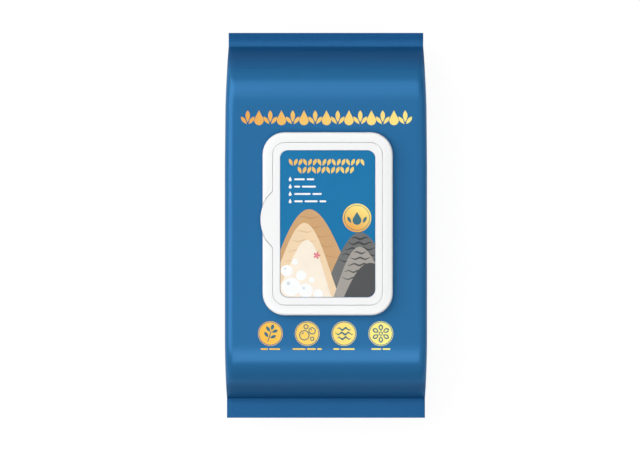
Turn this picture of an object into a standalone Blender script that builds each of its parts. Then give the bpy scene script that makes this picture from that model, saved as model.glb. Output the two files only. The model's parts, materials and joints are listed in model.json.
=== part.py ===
"""Wet wipes pack: a flow-wrapped film pouch of folded glove wipes, with a hinged flip-top lid on its front.

The pack lies on its back. X runs across it, Y along it towards its top seal, and Z up through its thickness.
The origin is at the middle of the pack's length and width, on the plane that its back rests on.
All sizes are in metres and all angles in radians.
"""

import math

import bmesh
import bpy
from mathutils import Matrix

# Film pouch, over its outside
PACK_LENGTH = 0.2265
PACK_WIDTH = 0.1188
PACK_THICKNESS = 0.0460
PACK_EDGE_RADIUS = 0.0050
FILM_WALL = 0.0005

# End seals: flat crimped strips that stand out from the ends, part way up the pack's thickness
SEAL_HEIGHT = 0.0210
SEAL_THICKNESS = 0.0009
SEAL_EDGE_RADIUS = 0.0002
TOP_SEAL_DEPTH = 0.0080
TOP_SEAL_WIDTH = 0.1145
BOTTOM_SEAL_DEPTH = 0.0115
BOTTOM_SEAL_WIDTH = 0.1165
CRIMP_PITCH = 0.0014
CRIMP_RELIEF = 0.00012

# Shoulders: how the front and back panels come down and up to the seals
TOP_SHOULDER_LENGTH = 0.0360
BOTTOM_SHOULDER_LENGTH = 0.0340
TOP_TAPER_LENGTH = 0.0600
BOTTOM_TAPER_LENGTH = 0.0380
FRONT_SHOULDER_POWER = 2.95
BACK_SHOULDER_POWER = 2.2
SHOULDER_EDGE_SHARE = 0.3

# Back panel: it meets the ground near its four corners, and stands this far clear of it in between
BACK_BOW = 0.0003
TROUGH_LIP = 0.0002

# Gussets: the side panels tuck in at each end
GUSSET_DEPTH = 0.0180
GUSSET_POWER = 0.85
GUSSET_END = 0.0006

# Lengthwise fin seal: a flap folded flat into a shallow trough along the middle of the back
FIN_WIDTH = 0.0110
FIN_THICKNESS = 0.0006
FIN_GAP = 0.0003
FIN_ROOT = 0.0006
FIN_SEAL_SHARE = 0.35
TROUGH_DEPTH = 0.0014
TROUGH_FLAT_HALF = 0.0130
TROUGH_HALF = 0.0190

# Glove wipes: each is folded in half along its length, and they lie in one stack
WIPE_COUNT = 20
HEADROOM = 0.0025
WIPE_GAP = 0.0003
WIPE_FOLD_SLIT = 0.0003
WIPE_FOLD_WIDTH = 0.0035
WIPE_EDGE_ROUND = 0.0006
WIPE_CORNER_RADIUS = 0.0090
WIPE_SIDE_CLEARANCE = 0.0012
WIPE_END_CLEARANCE = 0.0010

# Flip-top lid: where it stands on the front panel, and the frame that is stuck to the film
SEAT_GAP = 0.0003
LID_OFFSET_X = 0.0010
LID_OFFSET_Y = 0.0009
FRAME_WIDTH = 0.0764
FRAME_LENGTH = 0.1074
FRAME_CORNER_RADIUS = 0.0130
FRAME_HEIGHT = 0.0052
FRAME_BORDER = 0.0056
FRAME_EDGE_ROUND = 0.0013
FRAME_CROWN = 0.0004
FRAME_LAND = 0.0012
FRAME_WALL = 0.0012
FLOOR_THICKNESS = 0.0013
COLLAR_INSET = 0.0096
COLLAR_WALL = 0.0012
COLLAR_GAP = 0.0003
COLLAR_CORNER_RADIUS = 0.0080

# Hole cut in the film inside the frame's collar
DIE_CUT_WIDTH = 0.0360
DIE_CUT_LENGTH = 0.0660
DIE_CUT_RADIUS = 0.0130

# Lid cover: a shallow tray, upside down, with a plug wall that seals inside the collar
COVER_GAP = 0.0004
COVER_PLATE = 0.0015
COVER_WALL = 0.0011
COVER_EDGE_CHAMFER = 0.0004
COVER_FLOOR_GAP = 0.0004
PLUG_GAP = 0.00035
PLUG_WALL = 0.0010
PLUG_DEPTH = 0.0028
TAB_OFFSET_Y = 0.0026
TAB_ROOT_HALF = 0.0165
TAB_SHOULDER_HALF = 0.0112
TAB_SHOULDER_REACH = 0.0044
TAB_OVERHANG = 0.0012
TAB_THICKNESS = 0.0014
TAB_GAP = 0.0004

# Printed label in the cover's recess
LABEL_WIDTH = 0.0557
LABEL_LENGTH = 0.0861
LABEL_RADIUS = 0.0046
LABEL_THICKNESS = 0.0003
LABEL_GAP = 0.0003
LABEL_SIDE_GAP = 0.00015

# Fineness of round edges, and how far a cutter runs past what it cuts
CORNER_STEPS = 5
LID_CORNER_STEPS = 8
ARC_STEPS = 4
TAB_STEPS = 10
SHOULDER_STEPS = 9
SHOULDER_SPREAD = 1.2
MIDDLE_STATIONS = (0.2, 0.5, 0.8)
CAVITY_END = 0.0020
SLOPE_STEP = 0.0001
CUTTER_REACH = 0.0020

# The wipes' heights, worked out from the sizes above
WIPES_BOTTOM = TROUGH_DEPTH + FILM_WALL + WIPE_GAP
WIPES_TOP = PACK_THICKNESS - FILM_WALL - HEADROOM
WIPE_THICKNESS = (WIPES_TOP - WIPES_BOTTOM) / WIPE_COUNT

# Where the lid stands
FRAME_BOTTOM = PACK_THICKNESS + SEAT_GAP
LID_TOP = FRAME_BOTTOM + FRAME_HEIGHT
WELL_WIDTH = FRAME_WIDTH - 2 * FRAME_BORDER
WELL_LENGTH = FRAME_LENGTH - 2 * FRAME_BORDER
WELL_CORNER_RADIUS = FRAME_CORNER_RADIUS - FRAME_BORDER
COVER_WIDTH = WELL_WIDTH - 2 * COVER_GAP
COVER_LENGTH = WELL_LENGTH - 2 * COVER_GAP
COVER_CORNER_RADIUS = WELL_CORNER_RADIUS - COVER_GAP
COVER_UNDERSIDE = LID_TOP - COVER_PLATE
COLLAR_TOP = COVER_UNDERSIDE - COLLAR_GAP
COLLAR_WIDTH = WELL_WIDTH - 2 * COLLAR_INSET
COLLAR_LENGTH = WELL_LENGTH - 2 * COLLAR_INSET
TAB_REACH = COVER_GAP + FRAME_BORDER + TAB_OVERHANG
NOTCH_FLOOR = LID_TOP - TAB_THICKNESS - TAB_GAP
HINGE_AXIS_X = LID_OFFSET_X + WELL_WIDTH / 2 - COVER_GAP / 2
HINGE_AXIS_Z = LID_TOP


class PouchEnd:
    """One end of the pouch. A distance is measured from its seal line in towards the pack's middle."""

    def __init__(self, side, seal_depth, seal_width, shoulder_length, taper_length):
        self.side = side
        self.seal_depth = seal_depth
        self.seal_half_width = seal_width / 2
        self.shoulder_length = shoulder_length
        self.taper_length = taper_length
        self.drop = PACK_THICKNESS - SEAL_HEIGHT - SEAL_THICKNESS / 2
        self.rise = SEAL_HEIGHT - SEAL_THICKNESS / 2
        reach = ((HEADROOM - WIPE_GAP) / self.drop) ** (1 / FRONT_SHOULDER_POWER)
        self.back_length = shoulder_length * (1 - reach)

    def y_at(self, distance):
        return self.side * (PACK_LENGTH / 2 - self.seal_depth - distance)

    def half_width(self, distance):
        share = max(0.0, 1 - distance / self.taper_length)
        return PACK_WIDTH / 2 + (self.seal_half_width - PACK_WIDTH / 2) * share**2

    def front_height(self, distance):
        share = max(0.0, 1 - distance / self.shoulder_length)
        return PACK_THICKNESS - self.drop * share**FRONT_SHOULDER_POWER

    def back_height(self, distance):
        share = max(0.0, 1 - distance / self.back_length)
        return self.rise * share**BACK_SHOULDER_POWER + back_bow(self.y_at(distance))

    def tuck(self, distance):
        share = max(0.0, 1 - distance / self.back_length)
        return GUSSET_DEPTH * share**GUSSET_POWER

    def trough(self, distance):
        share = min(1.0, distance / self.back_length)
        return TROUGH_DEPTH * share - back_bow(self.y_at(distance))


TOP_END = PouchEnd(1, TOP_SEAL_DEPTH, TOP_SEAL_WIDTH, TOP_SHOULDER_LENGTH, TOP_TAPER_LENGTH)
BOTTOM_END = PouchEnd(-1, BOTTOM_SEAL_DEPTH, BOTTOM_SEAL_WIDTH, BOTTOM_SHOULDER_LENGTH, BOTTOM_TAPER_LENGTH)


def back_bow(y):
    """How far the back panel stands clear of the ground at its side edges: most at the pack's middle."""
    start = BOTTOM_END.y_at(BOTTOM_END.back_length)
    stop = TOP_END.y_at(TOP_END.back_length)
    share = (2 * y - start - stop) / (stop - start)
    return BACK_BOW * max(0.0, 1 - share**2)


def clear_scene():
    for item in list(bpy.data.objects):
        bpy.data.objects.remove(item)


def new_collection(name):
    collection = bpy.data.collections.new(name)
    bpy.context.scene.collection.children.link(collection)
    return collection


def material(name, colour, roughness):
    finish = bpy.data.materials.new(name)
    finish.use_nodes = True
    shader = finish.node_tree.nodes["Principled BSDF"]
    shader.inputs["Base Color"].default_value = (*colour, 1.0)
    shader.inputs["Roughness"].default_value = roughness
    shader.inputs["Metallic"].default_value = 0.0
    finish.diffuse_color = (*colour, 1.0)
    return finish


def rounded_rectangle(width, height, radius, steps=CORNER_STEPS):
    """Points (u, v) once round a rectangle with rounded corners, centred on the origin."""
    points = []
    for corner, (sign_u, sign_v) in enumerate(((1, 1), (-1, 1), (-1, -1), (1, -1))):
        for step in range(steps + 1):
            angle = (corner + step / steps) * math.pi / 2
            u = sign_u * (width / 2 - radius) + radius * math.cos(angle)
            v = sign_v * (height / 2 - radius) + radius * math.sin(angle)
            points.append((u, v))
    return points


def loft(name, rings, ends_joined=False):
    """A closed mesh through rings of equally many points. Its ends are capped, or joined to each other."""
    shape = bmesh.new()
    loops = [[shape.verts.new(point) for point in ring] for ring in rings]
    pairs = list(zip(loops, loops[1:]))
    if ends_joined:
        pairs.append((loops[-1], loops[0]))
    else:
        shape.faces.new(loops[0])
        shape.faces.new(loops[-1])
    for near, far in pairs:
        for index in range(len(near)):
            following = (index + 1) % len(near)
            shape.faces.new((near[index], near[following], far[following], far[index]))
    bmesh.ops.recalc_face_normals(shape, faces=shape.faces)
    mesh = bpy.data.meshes.new(name)
    shape.to_mesh(mesh)
    shape.free()
    return mesh


def add_object(name, data, collection, finish=None):
    item = bpy.data.objects.new(name, data)
    collection.objects.link(item)
    if finish:
        data.materials.append(finish)
    return item


def add_cutter(name, mesh, cutters):
    cutter = add_object(name, mesh, cutters)
    cutter.hide_render = True
    cutter.display_type = "WIRE"
    return cutter


def cut(item, cutter, operation="DIFFERENCE"):
    modifier = item.modifiers.new(cutter.name, "BOOLEAN")
    modifier.operation = operation
    modifier.object = cutter


def plate_curve(name, outline, low, high):
    """A flat plate as a filled curve, from the height low to the height high."""
    curve = bpy.data.curves.new(name, "CURVE")
    curve.dimensions = "2D"
    curve.fill_mode = "BOTH"
    curve.extrude = (high - low) / 2
    spline = curve.splines.new("POLY")
    spline.points.add(len(outline) - 1)
    for point, (x, y) in zip(spline.points, outline):
        point.co = (x, y, 0, 1)
    spline.use_cyclic_u = True
    return curve


def plate_mesh(name, outline, low, high):
    """The same plate as a closed mesh, for cuts and unions."""
    holder = bpy.data.objects.new(name, plate_curve(name, outline, low, high))
    bpy.context.scene.collection.objects.link(holder)
    holder.location.z = (low + high) / 2
    bpy.context.view_layer.update()
    evaluated = holder.evaluated_get(bpy.context.evaluated_depsgraph_get())
    mesh = bpy.data.meshes.new_from_object(evaluated)
    mesh.transform(holder.matrix_world)
    bpy.data.objects.remove(holder)
    shape = bmesh.new()
    shape.from_mesh(mesh)
    bmesh.ops.remove_doubles(shape, verts=shape.verts, dist=1e-6)
    bmesh.ops.recalc_face_normals(shape, faces=shape.faces)
    shape.to_mesh(mesh)
    shape.free()
    return mesh


def shade_smooth(mesh, crease_degrees=32):
    mesh.shade_smooth()
    mesh.set_sharp_from_angle(angle=math.radians(crease_degrees))


def side_points(half_width, low, high, corner, tuck):
    """Points (x, z) up the right-hand side: round edge, leg in to the gusset's fold, leg out, round edge."""
    middle = (low + high) / 2
    points = []
    for step in range(ARC_STEPS + 1):
        angle = (step / ARC_STEPS - 1) * math.pi / 2
        x = half_width - corner + corner * math.cos(angle)
        points.append((x, low + corner + corner * math.sin(angle)))
    points.append((half_width - tuck / 2, (low + corner + middle) / 2))
    points.append((half_width - tuck, middle))
    lower = points[:-1]
    return points + [(x, low + high - z) for x, z in reversed(lower)]


def film_section(half_width, low, high, corner, tuck, trough, fin_share):
    """Points (x, z) once round the film: up the right, over the front, down the left and round the fin."""
    right = side_points(half_width, low, high, corner, tuck)
    left = [(-x, z) for x, z in reversed(right)]
    roof = low + trough
    lip = low + min(TROUGH_LIP, trough / 2)
    fin_top = roof - FIN_GAP * fin_share
    fin_bottom = fin_top - FIN_THICKNESS * fin_share
    trough_right = [(FIN_ROOT / 2, roof), (TROUGH_FLAT_HALF, roof), (TROUGH_HALF, lip)]
    trough_left = [(-TROUGH_HALF, lip), (-TROUGH_FLAT_HALF, roof), (-FIN_ROOT / 2, roof)]
    fin_under = [(-FIN_ROOT / 2, fin_bottom), (FIN_WIDTH, fin_bottom)]
    fin_over = [(FIN_WIDTH, fin_top), (FIN_ROOT / 2, fin_top)]
    return trough_right + right + left + trough_left + fin_under + fin_over


def seal_rings(end):
    """Rings along one end seal, from its seal line out to its cut edge, with the crimp's ridges."""
    ridges = max(1, round(end.seal_depth / CRIMP_PITCH) - 1)
    pitch = end.seal_depth / (ridges + 1)
    stations = [(pitch / 4, 0.0)]
    for ridge in range(ridges):
        stations.append((pitch * (ridge + 0.5), CRIMP_RELIEF))
        stations.append((pitch * (ridge + 1), -CRIMP_RELIEF))
    stations.append((end.seal_depth, 0.0))
    rings = []
    for depth, shift in stations:
        low = SEAL_HEIGHT - SEAL_THICKNESS / 2 + shift
        high = SEAL_HEIGHT + SEAL_THICKNESS / 2 + shift
        section = film_section(end.seal_half_width, low, high, SEAL_EDGE_RADIUS, 0.0, 0.0, FIN_SEAL_SHARE)
        rings.append([(x, end.y_at(-depth), z) for x, z in section])
    return rings


def shoulder_distances(end, nearest):
    """Distances in from the seal line, close together where the panels are steep."""
    shares = [(step / SHOULDER_STEPS) ** SHOULDER_SPREAD for step in range(1, SHOULDER_STEPS + 1)]
    distances = [end.shoulder_length * share for share in shares]
    foot = min(range(len(distances)), key=lambda step: abs(distances[step] - end.back_length))
    distances[foot] = end.back_length
    return [nearest] + [distance for distance in distances if distance > 1.5 * nearest]


def edge_radius(low, high, most=PACK_EDGE_RADIUS):
    """The radius of the pouch's long edges, which get tighter where its panels come together."""
    return min(most, SHOULDER_EDGE_SHARE * (high - low))


def body_rings(end):
    """Rings along one shoulder of the pouch, from the seal line in to the flat of the front panel."""
    rings = []
    for distance in shoulder_distances(end, GUSSET_END):
        low = end.back_height(distance)
        high = end.front_height(distance)
        half_width = end.half_width(distance)
        corner = edge_radius(low, high)
        tuck = end.tuck(distance)
        fin_share = min(1.0, FIN_SEAL_SHARE + distance / end.back_length)
        section = film_section(half_width, low, high, corner, tuck, end.trough(distance), fin_share)
        rings.append([(x, end.y_at(distance), z) for x, z in section])
    return rings


def middle_rings():
    """Rings across the flat of the pack, where only its width changes a little."""
    start = BOTTOM_END.y_at(BOTTOM_END.shoulder_length)
    stop = TOP_END.y_at(TOP_END.shoulder_length)
    rings = []
    for share in MIDDLE_STATIONS:
        y = start + (stop - start) * share
        half_width = min(end.half_width(abs(end.y_at(0) - y)) for end in (TOP_END, BOTTOM_END))
        low = back_bow(y)
        corner = edge_radius(low, PACK_THICKNESS)
        section = film_section(half_width, low, PACK_THICKNESS, corner, 0.0, TROUGH_DEPTH - low, 1.0)
        rings.append([(x, y, z) for x, z in section])
    return rings


def cavity_rings(end):
    """Rings of the space inside one shoulder: a film's wall within the panels, and clear of the gussets."""
    rings = []
    for distance in shoulder_distances(end, CAVITY_END):
        beyond = distance + SLOPE_STEP
        front_slope = (end.front_height(beyond) - end.front_height(distance)) / SLOPE_STEP
        back_slope = (end.back_height(beyond) - end.back_height(distance)) / SLOPE_STEP
        high = end.front_height(distance) - FILM_WALL * math.hypot(1, front_slope)
        low = end.back_height(distance) + end.trough(distance) + FILM_WALL * math.hypot(1, back_slope)
        width = 2 * (end.half_width(distance) - end.tuck(distance) - FILM_WALL)
        radius = edge_radius(low, high, PACK_EDGE_RADIUS - FILM_WALL)
        middle = (low + high) / 2
        section = rounded_rectangle(width, high - low, radius)
        rings.append([(x, end.y_at(distance), middle + z) for x, z in section])
    return rings


def make_film_pouch(parts, cutters):
    """The flow-wrapped film: gusseted ends, crimped seals, a fin along its back and a hole under the lid."""
    rings = list(reversed(seal_rings(BOTTOM_END))) + body_rings(BOTTOM_END) + middle_rings()
    rings += list(reversed(body_rings(TOP_END))) + seal_rings(TOP_END)
    film = material("blue_film", (0.029, 0.159, 0.366), 0.38)
    pouch = add_object("film_pouch", loft("film_pouch", rings), parts, film)
    inside = cavity_rings(BOTTOM_END) + list(reversed(cavity_rings(TOP_END)))
    cut(pouch, add_cutter("pouch_inside", loft("pouch_inside", inside), cutters))
    hole = lid_outline(DIE_CUT_WIDTH, DIE_CUT_LENGTH, DIE_CUT_RADIUS)
    low = PACK_THICKNESS - FILM_WALL - CUTTER_REACH
    hole_mesh = plate_mesh("die_cut", hole, low, PACK_THICKNESS + CUTTER_REACH)
    cut(pouch, add_cutter("die_cut", hole_mesh, cutters))
    shade_smooth(pouch.data)


def wipe_half_width(height):
    """Half the width that the pouch leaves to a wipe at a height, where the pouch's edges are round."""
    radius = PACK_EDGE_RADIUS - FILM_WALL
    above = height - (PACK_THICKNESS - PACK_EDGE_RADIUS)
    below = TROUGH_DEPTH + PACK_EDGE_RADIUS - height
    lift = max(0.0, above, below)
    return PACK_WIDTH / 2 - PACK_EDGE_RADIUS + math.sqrt(radius**2 - lift**2) - WIPE_SIDE_CLEARANCE


def wipe_ring(height, inset=0.0):
    """The outline of a folded wipe at a height, smaller all round by the inset."""
    stop = TOP_END.y_at(TOP_END.back_length) - WIPE_END_CLEARANCE - inset
    start = BOTTOM_END.y_at(BOTTOM_END.back_length) + WIPE_END_CLEARANCE + inset
    middle = (start + stop) / 2
    width = 2 * (wipe_half_width(height) - inset)
    outline = rounded_rectangle(width, stop - start, WIPE_CORNER_RADIUS - inset)
    return [(x, y + middle, height) for x, y in outline]


def make_wipes(parts, cutters):
    """The stack of folded wipes, each a little rounded at its edges, and the wipe on top of it."""
    cloth = material("damp_cloth", (0.80, 0.81, 0.79), 0.85)
    rings = []
    for layer in range(WIPE_COUNT - 1):
        low = WIPES_BOTTOM + layer * WIPE_THICKNESS
        rings.append(wipe_ring(low, WIPE_EDGE_ROUND))
        rings.append(wipe_ring(low + WIPE_THICKNESS / 2))
    rings.append(wipe_ring(WIPES_TOP - WIPE_THICKNESS, WIPE_EDGE_ROUND))
    add_object("wipes_stack", loft("wipes_stack", rings), parts, cloth)

    low = WIPES_TOP - WIPE_THICKNESS + WIPE_GAP
    middle = (low + WIPES_TOP) / 2
    rings = [wipe_ring(low, WIPE_EDGE_ROUND), wipe_ring(middle), wipe_ring(WIPES_TOP, WIPE_EDGE_ROUND)]
    top_wipe = add_object("top_wipe", loft("top_wipe", rings), parts, cloth)
    slit = rounded_rectangle(PACK_WIDTH, PACK_LENGTH, WIPE_CORNER_RADIUS)
    slit = [(x + WIPE_FOLD_WIDTH, y) for x, y in slit]
    slit_mesh = plate_mesh("wipe_slit", slit, middle - WIPE_FOLD_SLIT / 2, middle + WIPE_FOLD_SLIT / 2)
    cut(top_wipe, add_cutter("wipe_slit", slit_mesh, cutters))


def lid_outline(width, length, radius):
    """A rounded rectangle, seen from above, where the lid stands."""
    outline = rounded_rectangle(width, length, radius, LID_CORNER_STEPS)
    return [(x + LID_OFFSET_X, y + LID_OFFSET_Y) for x, y in outline]


def lid_ring(width, length, radius, inset, height):
    outline = lid_outline(width - 2 * inset, length - 2 * inset, radius - inset)
    return [(x, y, height) for x, y in outline]


def frame_ring(inset, height):
    return lid_ring(FRAME_WIDTH, FRAME_LENGTH, FRAME_CORNER_RADIUS, inset, height)


def cover_ring(inset, height):
    return lid_ring(COVER_WIDTH, COVER_LENGTH, COVER_CORNER_RADIUS, inset, height)


def collar_ring(inset, height):
    return lid_ring(COLLAR_WIDTH, COLLAR_LENGTH, COLLAR_CORNER_RADIUS, inset, height)


def tab_outline(gap):
    """The thumb tab seen from above, from inside the cover out to its tip, larger all round by the gap."""
    slant = math.hypot(TAB_SHOULDER_REACH, TAB_ROOT_HALF - TAB_SHOULDER_HALF)
    side_gap = gap * slant / TAB_SHOULDER_REACH
    shoulder = TAB_SHOULDER_HALF + side_gap
    bulge = TAB_REACH + gap - TAB_SHOULDER_REACH
    radius = (shoulder**2 + bulge**2) / (2 * bulge)
    sweep = math.asin(shoulder / radius)
    root = TAB_ROOT_HALF + side_gap
    points = [(-CUTTER_REACH, -root), (-CUTTER_REACH, root), (0.0, root)]
    for step in range(TAB_STEPS + 1):
        angle = sweep * (1 - 2 * step / TAB_STEPS)
        points.append((TAB_REACH + gap - radius + radius * math.cos(angle), radius * math.sin(angle)))
    points.append((0.0, -root))
    edge = LID_OFFSET_X - COVER_WIDTH / 2
    return [(edge - out, LID_OFFSET_Y + TAB_OFFSET_Y + along) for out, along in points]


def border_channel(cutters):
    """The channel under the frame's border, which is shallow under the thumb tab's notch."""
    top = LID_TOP - FRAME_CROWN - FRAME_WALL
    low = FRAME_BOTTOM - CUTTER_REACH
    near = FRAME_BORDER - FRAME_WALL
    rings = [
        frame_ring(FRAME_WALL, low),
        frame_ring(FRAME_WALL, top),
        frame_ring(near, top),
        frame_ring(near, low),
    ]
    channel = add_cutter("border_channel", loft("border_channel", rings, ends_joined=True), cutters)
    roof = plate_mesh("notch_roof", tab_outline(TAB_GAP + FRAME_WALL), NOTCH_FLOOR - FRAME_WALL, LID_TOP)
    cut(channel, add_cutter("notch_roof", roof, cutters))
    return channel


def make_lid_base(parts, cutters, plastic):
    """The frame: a rounded border round a sunk floor, whose hole has an upstanding collar."""
    floor_top = FRAME_BOTTOM + FLOOR_THICKNESS
    shoulder = LID_TOP - FRAME_CROWN - FRAME_EDGE_ROUND
    rings = [frame_ring(0.0, FRAME_BOTTOM)]
    for step in range(ARC_STEPS + 1):
        angle = step / ARC_STEPS * math.pi / 2
        inset = FRAME_EDGE_ROUND * (1 - math.cos(angle))
        rings.append(frame_ring(inset, shoulder + FRAME_EDGE_ROUND * math.sin(angle)))
    rings.append(frame_ring(FRAME_BORDER - FRAME_LAND, LID_TOP))
    rings.append(frame_ring(FRAME_BORDER, LID_TOP))
    rings.append(frame_ring(FRAME_BORDER, floor_top))
    base = add_object("lid_base", loft("lid_base", rings), parts, plastic)

    collar = [collar_ring(0.0, FRAME_BOTTOM + FLOOR_THICKNESS / 2), collar_ring(0.0, COLLAR_TOP)]
    cut(base, add_cutter("collar_block", loft("collar_block", collar), cutters), "UNION")
    opening = [collar_ring(COLLAR_WALL, FRAME_BOTTOM - CUTTER_REACH), collar_ring(COLLAR_WALL, LID_TOP)]
    cut(base, add_cutter("collar_opening", loft("collar_opening", opening), cutters))
    notch = plate_mesh("tab_notch", tab_outline(TAB_GAP), NOTCH_FLOOR, LID_TOP + CUTTER_REACH)
    cut(base, add_cutter("tab_notch", notch, cutters))
    cut(base, border_channel(cutters))
    shade_smooth(base.data)


def make_lid_cover(parts, cutters, plastic):
    """The lid: a shallow tray upside down, with a thumb tab, a plug wall and a recess for its label."""
    skirt_low = FRAME_BOTTOM + FLOOR_THICKNESS + COVER_FLOOR_GAP
    rings = [
        cover_ring(COVER_WALL, COVER_UNDERSIDE),
        cover_ring(COVER_WALL, skirt_low),
        cover_ring(0.0, skirt_low),
        cover_ring(0.0, LID_TOP - COVER_EDGE_CHAMFER),
        cover_ring(COVER_EDGE_CHAMFER, LID_TOP),
    ]
    cover = add_object("lid_cover", loft("lid_cover", rings), parts, plastic)
    tab = plate_mesh("thumb_tab", tab_outline(0.0), LID_TOP - TAB_THICKNESS, LID_TOP)
    cut(cover, add_cutter("thumb_tab", tab, cutters), "UNION")

    outer = COLLAR_WALL + PLUG_GAP
    inner = outer + PLUG_WALL
    low = COVER_UNDERSIDE - PLUG_DEPTH
    high = COVER_UNDERSIDE + (COVER_PLATE - LABEL_THICKNESS - LABEL_GAP) / 2
    plug = [
        collar_ring(outer, low),
        collar_ring(outer, high),
        collar_ring(inner, high),
        collar_ring(inner, low),
    ]
    cut(cover, add_cutter("plug_wall", loft("plug_wall", plug, ends_joined=True), cutters), "UNION")

    room = 2 * LABEL_SIDE_GAP
    outline = lid_outline(LABEL_WIDTH + room, LABEL_LENGTH + room, LABEL_RADIUS + LABEL_SIDE_GAP)
    recess_floor = LID_TOP - LABEL_THICKNESS - LABEL_GAP
    recess = plate_mesh("label_recess", outline, recess_floor, LID_TOP + CUTTER_REACH)
    cut(cover, add_cutter("label_recess", recess, cutters))
    shade_smooth(cover.data)
    return cover


def make_lid_label(parts):
    """The printed label, level with the cover round it."""
    outline = lid_outline(LABEL_WIDTH, LABEL_LENGTH, LABEL_RADIUS)
    mesh = plate_mesh("lid_label", outline, LID_TOP - LABEL_THICKNESS, LID_TOP)
    return add_object("lid_label", mesh, parts, material("printed_label", (0.018, 0.188, 0.434), 0.30))


def hang_on_hinge(items, parts):
    """Parents the moving pieces to an empty on the hinge's axis, which runs along Y."""
    hinge = add_object("lid_hinge_axis", None, parts)
    hinge.location = (HINGE_AXIS_X, LID_OFFSET_Y, HINGE_AXIS_Z)
    for item in items:
        item.parent = hinge
        item.matrix_parent_inverse = Matrix.Translation(hinge.location).inverted()


def build():
    clear_scene()
    parts = new_collection("wet_wipes_pack")
    cutters = new_collection("cutters")
    plastic = material("white_plastic", (0.88, 0.88, 0.87), 0.28)
    make_film_pouch(parts, cutters)
    make_wipes(parts, cutters)
    make_lid_base(parts, cutters, plastic)
    cover = make_lid_cover(parts, cutters, plastic)
    label = make_lid_label(parts)
    hang_on_hinge([cover, label], parts)


build()
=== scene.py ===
"""Looks of a wet wipes pack: its film, flip-top lid, label, print and folded wipes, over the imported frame."""

import json
import math
from itertools import chain
from typing import NamedTuple
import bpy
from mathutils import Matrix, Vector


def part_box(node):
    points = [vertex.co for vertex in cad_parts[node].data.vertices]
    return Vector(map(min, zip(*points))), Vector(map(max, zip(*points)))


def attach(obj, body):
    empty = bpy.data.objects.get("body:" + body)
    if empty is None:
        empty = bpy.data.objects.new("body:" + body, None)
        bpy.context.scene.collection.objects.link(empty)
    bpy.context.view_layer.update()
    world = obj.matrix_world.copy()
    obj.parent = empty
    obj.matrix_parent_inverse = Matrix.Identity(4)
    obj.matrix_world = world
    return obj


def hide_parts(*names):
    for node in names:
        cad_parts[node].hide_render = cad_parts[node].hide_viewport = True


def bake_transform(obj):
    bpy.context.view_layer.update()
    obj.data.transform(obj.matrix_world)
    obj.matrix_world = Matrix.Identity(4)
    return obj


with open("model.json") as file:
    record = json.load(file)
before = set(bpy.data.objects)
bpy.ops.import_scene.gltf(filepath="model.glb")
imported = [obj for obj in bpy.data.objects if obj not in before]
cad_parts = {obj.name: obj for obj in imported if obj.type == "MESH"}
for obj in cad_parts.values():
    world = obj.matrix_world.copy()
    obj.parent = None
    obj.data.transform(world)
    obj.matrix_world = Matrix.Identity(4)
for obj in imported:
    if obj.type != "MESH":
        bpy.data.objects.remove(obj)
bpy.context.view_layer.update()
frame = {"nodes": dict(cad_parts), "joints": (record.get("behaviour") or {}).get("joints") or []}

import bmesh
import bpy
from bpy.props import FloatProperty, FloatVectorProperty, IntProperty, PointerProperty
from mathutils import Vector

bl_info = {
    "name": "Wet Wipes Pack",
    "version": (1, 0, 0),
    "blender": (4, 5, 0),
    "location": "View3D > Sidebar > Wipes Pack",
    "description": "Models the looks of a soft pack of glove wipes with a flip-top lid",
    "category": "Object",
}

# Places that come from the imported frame
POUCH_LOW, POUCH_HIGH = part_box("film_pouch")
STACK_LOW, STACK_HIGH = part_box("wipes_stack")
TOP_WIPE_LOW, TOP_WIPE_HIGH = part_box("top_wipe")
LABEL_LOW, LABEL_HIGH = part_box("lid_label")
FRAME_LOW, FRAME_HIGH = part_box("lid_base")
HINGE = Vector(frame["joints"][0]["pos_m"])

PACK_LENGTH = POUCH_HIGH.y - POUCH_LOW.y
PACK_HALF_WIDTH = POUCH_HIGH.x
PACK_THICKNESS = POUCH_HIGH.z
LID_TOP = LABEL_HIGH.z
LID_MIDDLE = (LABEL_LOW + LABEL_HIGH) / 2

# How near two places count as the same
NEAR = 1e-6

# The pouch: its edges, end seals, shoulders and gussets
PACK_EDGE_RADIUS = 0.0050
SEAL_HEIGHT = 0.0210
SEAL_THICKNESS = 0.0009
SEAL_EDGE_RADIUS = 0.0002
SHOULDER_EDGE_SHARE = 0.3
FRONT_SHOULDER_POWER = 2.95
BACK_SHOULDER_POWER = 2.2
GUSSET_DEPTH = 0.0180
GUSSET_POWER = 0.85
BACK_BOW = 0.0003

# The trough along the pouch's back, and the fin seal that lies in it
TROUGH_DEPTH = 0.0014
TROUGH_LIP = 0.0002
TROUGH_FLAT_HALF = 0.0130
TROUGH_HALF = 0.0190
FIN_WIDTH = 0.0110
FIN_UNDERLAP = 0.0003
FIN_THICKNESS = 0.0006
FIN_GAP = 0.0003
FIN_IN_SEAL = 0.0010
FIN_FLATTENED = 0.35
FIN_FREE_DEPTH = 0.0009

# Where the pouch is cut across, so that it can be shaped there
RINGS_PER_RIDGE = 6
FIRST_SHOULDER_RING = 0.0006
SHOULDER_RINGS = 18
SHOULDER_RING_POWER = 1.25
MIDDLE_RINGS = 3
FLAT_MARGIN = 0.0015

# The hole that is cut in the film under the lid
DIE_CUT_WIDTH = 0.0360
DIE_CUT_LENGTH = 0.0660
DIE_CUT_RADIUS = 0.0130
DIE_CUT_DEPTH = 0.002

# The well in the lid's frame, which the cover lies in
FRAME_BORDER = 0.0056
WELL_CORNER_RADIUS = 0.0074
GROOVE_CLOSING = 0.00025

# The living hinge's webs
WEB_DROP = 0.00070
WEB_REACH = 0.0005
WEB_HALF_LENGTH = 0.0118
WEB_PITCH = 0.0270
WEB_STEPS = 8

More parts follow.
